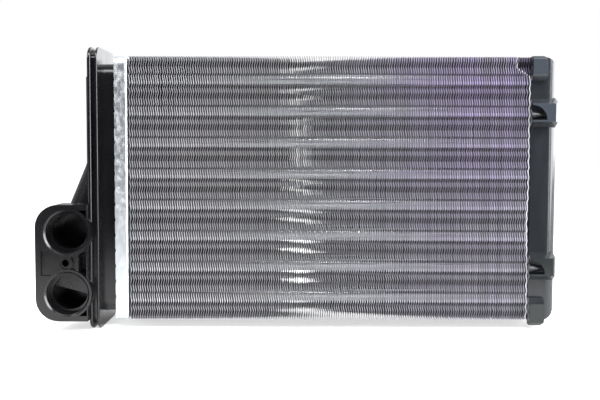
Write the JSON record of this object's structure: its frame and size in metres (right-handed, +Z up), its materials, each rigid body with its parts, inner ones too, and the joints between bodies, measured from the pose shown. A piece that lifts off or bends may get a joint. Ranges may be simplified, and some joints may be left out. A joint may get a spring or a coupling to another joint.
{
  "type": "heater core",
  "caption": "Vehicle heater core with round tubes in plate fins, crimped sheet headers, a black moulded end tank with side-by-side ports, and a moulded return tank.",
  "frame": {"origin": "on the ground plane under the centre of the bounding box; the flange's lower edge stands on it", "axes": "+X along the core from the port end to the return tank, +Y from the face that the ports open in to the rear face, +Z up along the fins"},
  "size_m": [0.3078, 0.062, 0.1676],
  "materials": {
    "fin_sheet": "bare stamped sheet",
    "tube_metal": "drawn",
    "header_metal": "bright pressed sheet",
    "gasket_rubber": "matte",
    "inlet_plastic": "moulded, slightly glossy",
    "return_plastic": "moulded, satin"
  },
  "bodies": {
    "root": {"fins_1": "fin_sheet", "fins_2": "fin_sheet", "tube_front_1": "tube_metal", "tube_front_2": "tube_metal", "tube_front_3": "tube_metal", "tube_front_4": "tube_metal", "tube_front_5": "tube_metal", "tube_front_6": "tube_metal", "tube_front_7": "tube_metal", "tube_front_8": "tube_metal", "tube_rear_1": "tube_metal", "tube_rear_2": "tube_metal", "tube_rear_3": "tube_metal", "tube_rear_4": "tube_metal", "tube_rear_5": "tube_metal", "tube_rear_6": "tube_metal", "tube_rear_7": "tube_metal", "tube_rear_8": "tube_metal", "inlet_header": "header_metal", "inlet_gasket": "gasket_rubber", "inlet_tank": "inlet_plastic", "return_header": "header_metal", "return_gasket": "gasket_rubber", "return_tank": "return_plastic"}
  },
  "joints": []
}
